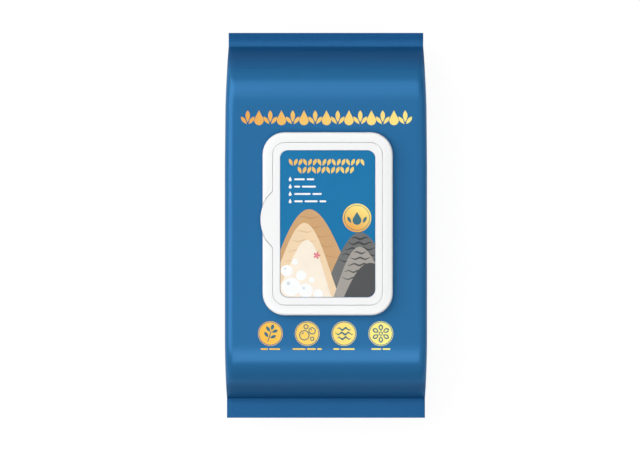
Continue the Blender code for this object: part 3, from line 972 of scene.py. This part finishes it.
class WIPES_OT_film_pouch(bpy.types.Operator):
    """Models the film: a closed pouch with gusseted ends, crimped seals, a fin and the hole under the lid"""

    bl_idname = "wipes_pack.film_pouch"
    bl_label = "Film pouch"

    def execute(self, context):
        pouch = settings("pouch")
        rings = BOTTOM_END.rings(pouch.crimp_pitch)
        other_rings = TOP_END.rings(pouch.crimp_pitch)
        gap = (other_rings[-1] - rings[-1]) / (MIDDLE_RINGS + 1)
        rings += [rings[-1] + gap * step for step in range(1, MIDDLE_RINGS + 1)]
        rings += reversed(other_rings)
        low = Vector((-PACK_HALF_WIDTH, -PACK_LENGTH / 2, 0.0))
        high = Vector((PACK_HALF_WIDTH, PACK_LENGTH / 2, PACK_THICKNESS))
        piece = add_block("printed_film", low, high)
        round_edges(piece, PACK_EDGE_RADIUS, 5, lambda edge: edge.verts[0].co.y * edge.verts[1].co.y < 0)
        edit(piece)
        for x in (PACK_HALF_WIDTH - PACK_EDGE_RADIUS - FLAT_MARGIN, TROUGH_HALF, TROUGH_FLAT_HALF):
            cut_across("x", x)
            cut_across("x", -x)
        cut_across("z", PACK_THICKNESS / 2)
        for y in rings:
            cut_across("y", y)
        for y in [low.y, *rings, high.y]:
            shape_ring(piece, y)
        leave_edit()

        size = (DIE_CUT_WIDTH, DIE_CUT_LENGTH, DIE_CUT_RADIUS)
        floor, roof = PACK_THICKNESS - DIE_CUT_DEPTH, PACK_THICKNESS + DIE_CUT_DEPTH
        hole = rounded_plate("die_cut", LID_MIDDLE, *size, floor, roof)
        use_modifier(piece, "BOOLEAN", object=hole, operation="DIFFERENCE", solver="EXACT")
        bpy.data.objects.remove(hole)

        def in_pocket(face):
            place = face.calc_center_median()
            away = place - LID_MIDDLE
            within = all(abs(away[axis]) < size[axis] / 2 + 100 * NEAR for axis in (0, 1))
            return within and floor - 10 * NEAR < place.z < PACK_THICKNESS - 10 * NEAR

        edit(piece)
        if not pick(piece, "FACE", in_pocket):
            raise RuntimeError("the hole under the lid was not cut")
        bpy.ops.mesh.delete(type="FACE")
        leave_edit()
        thicken(piece, pouch.film_wall, -1.0)

        fin = add_fin(rings)
        make_active(piece)
        fin.select_set(True)
        bpy.ops.object.join()
        finish_piece(piece, film_look(), "pack", ["film_pouch"], 28)
        return {"FINISHED"}


def folded_wipe(name, low, high, columns, rows, leaf_thickness):
    """A wipe folded in half between two corners, with its fold at the left, as a sheet without thickness."""
    lower, upper = low.z + leaf_thickness / 2, high.z - leaf_thickness / 2
    radius = (upper - lower) / 2
    fold = low.x + radius + leaf_thickness / 2
    width, length = high.x - fold, high.y - low.y
    middle = ((fold + high.x) / 2, (low.y + high.y) / 2, lower)
    clear_selection()
    bpy.ops.mesh.primitive_plane_add(size=1.0, location=middle)
    bpy.ops.transform.resize(value=(width, length, 1.0))
    piece = settle(name)
    edit(piece)
    for column in range(1, columns):
        cut_across("x", fold + width * column / columns)
    for row in range(1, rows):
        cut_across("y", low.y + length * row / rows)
    pick(piece, "EDGE", lambda edge: all(abs(vert.co.x - fold) < NEAR for vert in edge.verts))
    here = Vector((0.0, 0.0, -radius))
    for step in range(1, FOLD_STEPS + 1):
        angle = math.pi * step / FOLD_STEPS
        there = Vector((-radius * math.sin(angle), 0.0, -radius * math.cos(angle)))
        bpy.ops.mesh.extrude_region_move(TRANSFORM_OT_translate={"value": there - here})
        here = there
    for _ in range(columns):
        bpy.ops.mesh.extrude_region_move(TRANSFORM_OT_translate={"value": (width / columns, 0.0, 0.0)})
    bpy.ops.mesh.select_all(action="SELECT")
    bpy.ops.mesh.normals_make_consistent(inside=False)
    leave_edit()
    return piece


def stack_half_width(height):
    """Half the width that the pouch's round edges leave to a wipe at a height."""
    lift = max(0.0, height - (PACK_THICKNESS - PACK_EDGE_RADIUS), TROUGH_DEPTH + PACK_EDGE_RADIUS - height)
    radius = PACK_EDGE_RADIUS - SOLID_FILM
    return STACK_HIGH.x - radius + math.sqrt(radius**2 - min(lift, radius) ** 2)


class WIPES_OT_wipes_stack(bpy.types.Operator):
    """Models the folded wipes under the top one, whose folds lie left and right by turns"""

    bl_idname = "wipes_pack.wipes_stack"
    bl_label = "Folded wipes"

    def execute(self, context):
        leaf_thickness = settings("wipes").leaf_thickness
        cloth = cloth_look()
        pitch = (STACK_HIGH.z - STACK_LOW.z) / (WIPE_COUNT - 1)
        low = Vector((-STACK_HIGH.x, STACK_LOW.y, 0.0))
        high = Vector((STACK_HIGH.x, STACK_HIGH.y, pitch - WIPE_GAP))
        first = folded_wipe("first_wipe", low, high, 6, 8, leaf_thickness)
        thicken(first, leaf_thickness, 0.0)
        for layer in range(WIPE_COUNT - 1):
            base = STACK_LOW.z + pitch * layer
            narrow = min(stack_half_width(base), stack_half_width(base + pitch)) / STACK_HIGH.x
            name = f"wipe_{layer + 1:02d}"
            wipe = bpy.data.objects.new(name, first.data.copy())
            context.scene.collection.objects.link(wipe)
            wipe.location.z = base
            wipe.scale.x = narrow
            if layer % 2:
                wipe.location.y = low.y + high.y
                wipe.rotation_euler.z = math.pi
            make_active(wipe)
            settle(name)
            finish_piece(wipe, cloth, "pack", ["wipes_stack"], 50)
        bpy.data.objects.remove(first)
        return {"FINISHED"}


class WIPES_OT_top_wipe(bpy.types.Operator):
    """Models the wipe that shows when the lid is up, softly rumpled"""

    bl_idname = "wipes_pack.top_wipe"
    bl_label = "Top wipe"

    def execute(self, context):
        wipes = settings("wipes")
        low = Vector((TOP_WIPE_LOW.x, TOP_WIPE_LOW.y, TOP_WIPE_LOW.z + wipes.rumple / 2))
        high = TOP_WIPE_HIGH
        piece = folded_wipe("top_glove_wipe", low, high, 30, 42, wipes.leaf_thickness)
        folds = bpy.data.textures.new("soft_folds", "CLOUDS")
        folds.noise_scale = 0.016
        folds.noise_depth = 2
        use_modifier(
            piece,
            "DISPLACE",
            texture=folds,
            texture_coords="LOCAL",
            direction="Z",
            mid_level=0.5,
            strength=wipes.rumple * 2,
        )
        thicken(piece, wipes.leaf_thickness, 0.0)
        use_modifier(piece, "SUBSURF", levels=1, render_levels=1)
        finish_piece(piece, bpy.data.materials["damp_nonwoven"], "pack", ["top_wipe"], 60)
        return {"FINISHED"}


def close_groove(piece):
    """Moves the well's wall towards the cover, so that only a fine groove shows between the two."""
    middle = (FRAME_LOW + FRAME_HIGH) / 2
    well = (FRAME_HIGH - FRAME_LOW) / 2 - Vector((FRAME_BORDER, FRAME_BORDER, 0.0))

    def is_wall(place):
        past = [max(abs(place[axis] - middle[axis]) - well[axis] + WELL_CORNER_RADIUS, 0.0) for axis in (0, 1)]
        return abs(math.hypot(*past) - WELL_CORNER_RADIUS) < 50 * NEAR

    edit(piece)
    pick(piece, "VERT", is_wall)
    resize(middle, x=1 - GROOVE_CLOSING / well.x, y=1 - GROOVE_CLOSING / well.y)
    leave_edit()


def finish_moulding(piece, look, body, node):
    """Rounds a moulding's edges, and lets its large faces set the shading next to them."""
    use_modifier(
        piece,
        "BEVEL",
        width=settings("lid").edge_round,
        segments=2,
        limit_method="ANGLE",
        angle_limit=math.radians(40),
    )
    finish_piece(piece, look, body, [node], 35)
    use_modifier(piece, "WEIGHTED_NORMAL", keep_sharp=True, weight=100)


class WIPES_OT_lid_base(bpy.types.Operator):
    """Finishes the lid's frame: rounds its edges and gives it moulded plastic"""

    bl_idname = "wipes_pack.lid_base"
    bl_label = "Lid frame"

    def execute(self, context):
        piece = copy_of_node("lid_base", "lid_frame")
        close_groove(piece)
        finish_moulding(piece, plastic_look(), "pack", "lid_base")
        return {"FINISHED"}


class WIPES_OT_lid_cover(bpy.types.Operator):
    """Finishes the lid's cover: rounds its edges and gives it moulded plastic"""

    bl_idname = "wipes_pack.lid_cover"
    bl_label = "Lid cover"

    def execute(self, context):
        piece = copy_of_node("lid_cover", "lid_shell")
        finish_moulding(piece, bpy.data.materials["white_moulding"], "lid", "lid_cover")
        return {"FINISHED"}


class WIPES_OT_hinge_webs(bpy.types.Operator):
    """Models the living hinge: thin webs that join the cover to the frame"""

    bl_idname = "wipes_pack.hinge_webs"
    bl_label = "Living hinge"

    def execute(self, context):
        lid = settings("lid")
        top = HINGE.z - WEB_DROP
        start, stop = HINGE.x - WEB_REACH, HINGE.x + WEB_REACH
        for index in range(lid.web_count):
            y = HINGE.y + (index - (lid.web_count - 1) / 2) * WEB_PITCH
            low = (start, y - WEB_HALF_LENGTH, top - lid.web_thickness)
            web = add_block(f"hinge_web_{index + 1}", low, (stop, y + WEB_HALF_LENGTH, top))
            edit(web)
            for step in range(1, WEB_STEPS):
                cut_across("x", start + 2 * WEB_REACH * step / WEB_STEPS)
            leave_edit()
            smooth(web, 40)
            web.data.materials.append(bpy.data.materials["white_moulding"])
            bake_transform(web)
        return {"FINISHED"}


class WIPES_OT_lid_label(bpy.types.Operator):
    """Models the printed label in the cover's recess"""

    bl_idname = "wipes_pack.lid_label"
    bl_label = "Lid label"

    def execute(self, context):
        size = LABEL_HIGH - LABEL_LOW
        piece = rounded_plate("label_sheet", LID_MIDDLE, size.x, size.y, LABEL_CORNER, LABEL_LOW.z, LABEL_HIGH.z)
        finish_piece(piece, label_look(), "lid", ["lid_label"])
        return {"FINISHED"}


class WIPES_OT_film_print(bpy.types.Operator):
    """Prints the film's gold frieze above the lid, and the four gold discs and caption bars below it"""

    bl_idname = "wipes_pack.film_print"
    bl_label = "Film print"

    def execute(self, context):
        printing = settings("printing")
        gold = gold_look("gold_ink", printing.gold_left, printing.gold_right)
        bright = gold_look("bright_gold_ink", printing.disc_left, printing.disc_right, per_length=(28.0, 0.0, 0.0))

        frieze = []
        count = 15
        left, right, middle = -49.2, 49.8, 63.1
        pitch = (right - left) / count
        for index in range(count):
            x = left + pitch * (index + 0.5)
            if index % 2:
                frieze.append(drop((x, middle - 1.6), 2.75, 8.8))
            else:
                frieze.append(leaf((x, middle + 0.9), 7.0, 2.6, 90))
                frieze.append(leaf((x - 2.25, middle - 1.5), 5.6, 2.1, 128))
                frieze.append(leaf((x + 2.25, middle - 1.5), 5.6, 2.1, 52))
        print_on_film("gold_frieze", frieze, 0, gold)

        places = [(x, -63.5) for x in (-32.6, -11.0, 10.6, 32.2)]
        print_on_film("gold_discs", [disc(place, 6.55, 56) for place in places], 0, bright)
        rims = list(chain.from_iterable(ring(place, 7.25, 0.3, 56) for place in places))
        print_on_film("disc_rims", rims, 0, bright)

        pictures = sprig(places[0]) + bubbles(places[1]) + ripples(places[2]) + blossom(places[3])
        print_on_film("disc_pictures", pictures, 1, ink_look("picture_ink", printing.picture_dark))

        captions = []
        gap = 0.8
        for (x, _), dashes in zip(places, ((4.2, 6.4), (7.6, 5.2, 2.8), (3.6, 8.2), (5.8, 4.6))):
            start = x - (sum(dashes) + gap * (len(dashes) - 1)) / 2
            captions += bars_in_row(start, dashes, gap, -72.6, 0.95)
        print_on_film("caption_bars", captions, 0, bright)
        return {"FINISHED"}


def sprig(middle):
    """A stem with five leaves, for a disc."""
    stem = [(y, x) for x, y in bar(-5.0, 1.7, 0.0, 0.5)]
    shapes = [stem, leaf((0.0, 3.9), 3.7, 1.9, 90)]
    for foot in (0.9, -2.5):
        for side in (-1, 1):
            shapes.append(leaf((side * 2.05, foot + 1.2), 3.9, 1.8, 90 - side * 52))
    return [turned(points, middle, -18) for points in shapes]


def bubbles(middle):
    """Four rings of foam with their gleams, for a disc."""
    x, y = middle
    shapes = []
    for dx, dy, radius in ((-1.7, -1.0, 3.0), (2.9, 1.6, 2.1), (-0.7, 4.0, 1.5), (2.9, -3.1, 1.3)):
        shapes += ring((x + dx, y + dy), radius, 0.55, 32)
    shapes.append(leaf((x - 2.6, y + 0.1), 1.8, 0.6, 45))
    shapes.append(leaf((x + 2.4, y + 2.3), 1.2, 0.5, 45))
    return shapes


def ripples(middle):
    """Three ripples of water, for a disc."""
    x, y = middle
    return [
        wave(x - 4.0, x + 4.0, y + 2.7, 0.60, 1.25, 4.0),
        wave(x - 5.2, x + 5.2, y, 0.60, 1.25, 4.0, phase=0.6 * math.pi),
        wave(x - 4.0, x + 4.0, y - 2.7, 0.60, 1.25, 4.0),
    ]


def blossom(middle):
    """A flower with six petals, for a disc."""
    x, y = middle
    shapes = ring(middle, 1.2, 0.5, 24)
    for petal in range(6):
        angle = math.radians(60 * petal + 30)
        place = (x + 3.5 * math.cos(angle), y + 3.5 * math.sin(angle))
        shapes.append(leaf(place, 4.0, 2.7, 60 * petal + 30))
        shapes.append(leaf(place, 2.3, 1.25, 60 * petal + 30))
    return shapes


class WIPES_OT_label_print(bpy.types.Operator):
    """Prints the lid's label: rows of gold leaves, drops with white lines, a gold badge and foam on hills"""

    bl_idname = "wipes_pack.label_print"
    bl_label = "Label print"

    def execute(self, context):
        gold = bpy.data.materials["gold_ink"]
        white = ink_look("white_ink", (0.86, 0.87, 0.87))

        leaves = []
        for left, right, y in ((-22.0, 22.8, 37.0), (-16.8, 16.6, 32.4)):
            count = round((right - left) / 2.8)
            for index in range(count):
                x = left + (right - left) * (index + 0.5) / count
                leaves.append(leaf((x, y), 4.5, 1.9, 66 if index % 3 else 114))
        print_on_label("leaf_rows", leaves, 0, gold)

        drops, lines = [], []
        rows = ((27.0, (6.2, 4.4)), (22.7, (3.4, 8.2)), (18.4, (9.6, 5.4)), (14.1, (5.0, 7.6, 4.0)))
        for y, dashes in rows:
            drops.append(drop((-21.0, y - 0.3), 0.85, 2.7))
            lines += bars_in_row(-18.6, dashes, 1.1, y, 1.05)
        print_on_label("drop_bullets", drops, 0, white)
        print_on_label("label_lines", lines, 0, white)

        self.print_hills()
        self.print_foam(white)
        self.print_badge()
        return {"FINISHED"}

    def label_outline(self):
        """The label's outline in millimetres, a little inside its edge."""
        corner, margin = LABEL_CORNER / MILLIMETRE, 0.15
        low, high = LABEL_LOW / MILLIMETRE, LABEL_HIGH / MILLIMETRE
        left, right = low.x + margin + corner, high.x - margin - corner
        near, far = low.y + margin + corner, high.y - margin - corner
        outline = []
        for turn, middle in enumerate(((right, far), (left, far), (left, near), (right, near))):
            outline += arc(middle, corner, 90 * turn, 90 * turn + 90, 8)
        return outline

    def print_hills(self):
        """Hills in tan, cream and greys that run to the label's lower edges, with fine lines across them."""
        outline = self.label_outline()
        base = LABEL_LOW.y / MILLIMETRE - 0.85
        # Name, colour, layer, left, right, top and lean of each hill
        hills = (
            ("hill_sand", (0.560, 0.330, 0.150), 0, -38.0, 22.0, 9.5, 0.47),
            ("hill_slate", (0.130, 0.135, 0.135), 0.5, -4.0, 46.0, -4.0, 0.48),
            ("hill_cream", (0.790, 0.600, 0.390), 1, -36.0, 9.0, 1.5, 0.52),
            ("hill_ash", (0.330, 0.310, 0.280), 1.5, 4.0, 40.0, -12.5, 0.44),
            ("hill_shell", (0.850, 0.760, 0.640), 2, -34.0, 4.0, -8.5, 0.60),
            ("hill_coal", (0.060, 0.062, 0.065), 2.5, 10.0, 48.0, -22.0, 0.42),
        )
        # Name, colour, heights, rise, thickness and length of the waves across a hill
        ridges = {
            "hill_sand": ("dune_lines", (0.480, 0.265, 0.110), (4.6, -0.8, -6.4, -12.2, -18.4), 0.45, 0.75, 9.0),
            "hill_slate": ("slate_lines", (0.035, 0.037, 0.040), (-7.6, -10.6, -13.8, -17.2, -20.8), 0.55, 1.25, 6.5),
            "hill_cream": ("cream_lines", (0.640, 0.440, 0.250), (-3.6, -9.0, -14.8, -21.0), 0.45, 0.65, 8.0),
            "hill_ash": ("ash_lines", (0.070, 0.070, 0.070), (-16.0, -19.4, -23.0, -27.0, -31.2), 0.50, 1.10, 6.0),
        }
        for name, colour, layer, left, right, top, lean in hills:
            points = hill(left, right, base, top, lean)
            print_on_label(name, [kept_inside(points, outline)], layer, ink_look(name, colour))
            if name in ridges:
                title, colour, heights, *size = ridges[name]
                lines = [kept_inside(line, outline) for line in strata(points, heights, *size)]
                print_on_label(title, lines, layer + 0.25, ink_look(title, colour))

    def print_foam(self, white):
        """Foam in front of the hills, with its gleams, and a small blossom."""
        outline = self.label_outline()
        front = (
            (-20.4, -36.0, 5.4),
            (-23.0, -26.6, 3.4),
            (-4.6, -40.2, 2.8),
            (-18.2, -21.4, 1.7),
            (-8.4, -32.0, 1.6),
        )
        behind = ((-11.8, -38.2, 4.2), (-14.6, -29.4, 3.0))
        for name, bubbles_there, layer in (("foam", front, 3), ("foam_behind", behind, 2.6)):
            foam = [kept_inside(disc((x, y), radius, 36), outline) for x, y, radius in bubbles_there]
            print_on_label(name, foam, layer, white)
        gleams = [disc((-22.0, -34.0), 1.1, 18), disc((-24.0, -25.4), 0.7, 14), disc((-13.0, -36.8), 0.8, 14)]
        print_on_label("foam_gleams", gleams, 3.6, ink_look("foam_shade", (0.62, 0.68, 0.72)))
        petals = [leaf(turned([(1.15, 0.0)], (-5.4, -17.6), 72 * step)[0], 2.2, 1.2, 72 * step) for step in range(5)]
        print_on_label("small_blossom", petals, 3, ink_look("petal_pink", (0.700, 0.180, 0.230)))

    def print_badge(self):
        """A gold badge with a ring, a drop and two leaves."""
        x, y = 18.2, 4.4
        golds = settings("printing")
        centre = (x * MILLIMETRE, y * MILLIMETRE, 0.0)
        gold = gold_look("badge_gold_ink", golds.gold_left, golds.gold_right, centre, (60.0, 120.0, 0.0))
        print_on_label("badge", [disc((x, y), 8.4, 56)], 2, gold)
        dark = bpy.data.materials["picture_ink"]
        print_on_label("badge_ring", ring((x, y), 7.5, 0.28, 56), 3, dark)
        leaves = [leaf((x - 4.5, y - 1.2), 4.4, 1.7, 118), leaf((x + 4.5, y - 1.2), 4.4, 1.7, 62)]
        print_on_label("badge_picture", [drop((x, y - 1.5), 2.6, 7.6), *leaves], 3, dark)


class WIPES_OT_stage(bpy.types.Operator):
    """Sets the pale floor, the soft lights and the camera straight above"""

    bl_idname = "wipes_pack.stage"
    bl_label = "Stage"

    def execute(self, context):
        stage = settings("stage")
        clear_selection()
        bpy.ops.mesh.primitive_plane_add(size=6.0, location=(0.0, 0.0, -0.0002))
        floor = settle("studio_floor")
        floor.data.materials.append(floor_look())
        set_world(stage.room_light)

        add_soft_light("key_light", (-1.82, 0.72, 1.75), 2.6, stage.key_power)
        add_soft_light("fill_light", (1.90, -0.60, 1.70), 2.8, stage.fill_power)
        add_strip("upper_strip", 0.080, 26.0, 36.0, stage.strip_power)
        add_strip("lower_strip", -0.0755, -20.0, 28.0, stage.strip_power * 1.3)

        clear_selection()
        bpy.ops.object.camera_add(location=(-0.0035, 0.0002, LID_TOP + stage.camera_height), rotation=(0.0, 0.0, 0.0))
        camera = context.object
        camera.name = "camera_above"
        camera.data.lens = stage.focal_length
        camera.data.sensor_width = 36.0
        camera.data.clip_start = 0.05
        camera.data.clip_end = 30.0
        context.scene.camera = camera
        context.scene.view_settings.view_transform = "Standard"
        return {"FINISHED"}


def seen_by(tree, *rays):
    """1 for the rays that are named, and 0 for the others."""
    path = add_node(tree, "ShaderNodeLightPath").outputs
    seen = path[rays[0]]
    for ray in rays[1:]:
        seen = math_node(tree, "MAXIMUM", seen, path[ray])
    return seen


def floor_look():
    """A pale floor that the camera sees as white, apart from the object's faint shadow."""
    look = bpy.data.materials.new("pale_floor")
    look.use_nodes = True
    tree = look.node_tree
    tree.nodes.clear()
    lit, shaded, glow = (
        add_node(tree, "ShaderNode" + kind, {"Color": (grey, grey, grey, 1.0)}).outputs[0]
        for kind, grey in (("BsdfDiffuse", 0.35), ("BsdfDiffuse", 0.10), ("Emission", 0.92))
    )
    white = add_node(tree, "ShaderNodeAddShader", {0: shaded, 1: glow}).outputs[0]
    seen = seen_by(tree, "Is Camera Ray", "Is Glossy Ray", "Is Transmission Ray")
    mix = add_node(tree, "ShaderNodeMixShader", {"Fac": seen, 1: lit, 2: white})
    add_node(tree, "ShaderNodeOutputMaterial", {"Surface": mix.outputs[0]})
    return look


def set_world(level):
    """A dim even room that the camera sees as white."""
    world = bpy.data.worlds.new("studio_room")
    bpy.context.scene.world = world
    world.use_nodes = True
    tree = world.node_tree
    seen = seen_by(tree, "Is Camera Ray", "Is Transmission Ray")
    strength = math_node(tree, "MULTIPLY_ADD", seen, 1.0 - level, level)
    feed(tree, tree.nodes["Background"], {"Color": (1.0, 1.0, 1.0, 1.0), "Strength": strength})


def add_light(name, place, turn, width, length, power):
    clear_selection()
    bpy.ops.object.light_add(type="AREA", location=place, rotation=turn)
    light = bpy.context.object
    light.name = name
    light.data.shape = "RECTANGLE"
    light.data.size = width
    light.data.size_y = length
    light.data.energy = power


def add_soft_light(name, place, width, power):
    """A soft square of light that faces the object."""
    add_light(name, place, (-Vector(place)).to_track_quat("-Z", "Y").to_euler(), width, width, power)


def add_strip(name, y, degrees, spread, power):
    """A long strip of light that spans a spread of angles, seen from the film of a shoulder."""
    angle, distance = math.radians(degrees), 1.5
    place = (0.0, y + distance * math.sin(angle), PACK_THICKNESS + distance * math.cos(angle))
    height = 2 * distance * math.tan(math.radians(spread / 2))
    add_light(name, place, (-angle, 0.0, 0.0), 1.2, height, power)


class WIPES_PT_panel(bpy.types.Panel):
    """Lists the pieces of the wet wipes pack"""

    bl_label = "Wet Wipes Pack"
    bl_idname = "WIPES_PT_panel"
    bl_space_type = "VIEW_3D"
    bl_region_type = "UI"
    bl_category = "Wipes Pack"

    def draw(self, context):
        for name, kind in SETTINGS.items():
            group = settings(name)
            for key in kind.__annotations__:
                self.layout.prop(group, key)
        for operator in OPERATORS:
            self.layout.operator(operator.bl_idname)


SETTINGS = {
    "pouch": PouchSettings,
    "lid": LidSettings,
    "printing": PrintSettings,
    "wipes": WipeSettings,
    "stage": StageSettings,
}
OPERATORS = (
    WIPES_OT_film_pouch,
    WIPES_OT_wipes_stack,
    WIPES_OT_top_wipe,
    WIPES_OT_lid_base,
    WIPES_OT_lid_cover,
    WIPES_OT_hinge_webs,
    WIPES_OT_lid_label,
    WIPES_OT_film_print,
    WIPES_OT_label_print,
    WIPES_OT_stage,
)
CLASSES = (*SETTINGS.values(), *OPERATORS, WIPES_PT_panel)


def register():
    for item in CLASSES:
        bpy.utils.register_class(item)
    for name, kind in SETTINGS.items():
        setattr(bpy.types.Scene, "wipes_pack_" + name, PointerProperty(type=kind))


def unregister():
    for name in SETTINGS:
        delattr(bpy.types.Scene, "wipes_pack_" + name)
    for item in reversed(CLASSES):
        bpy.utils.unregister_class(item)


def main():
    register()
    for operator in OPERATORS:
        space, name = operator.bl_idname.split(".")
        getattr(getattr(bpy.ops, space), name)()
    bpy.context.view_layer.update()


if __name__ == "__main__":
    main()
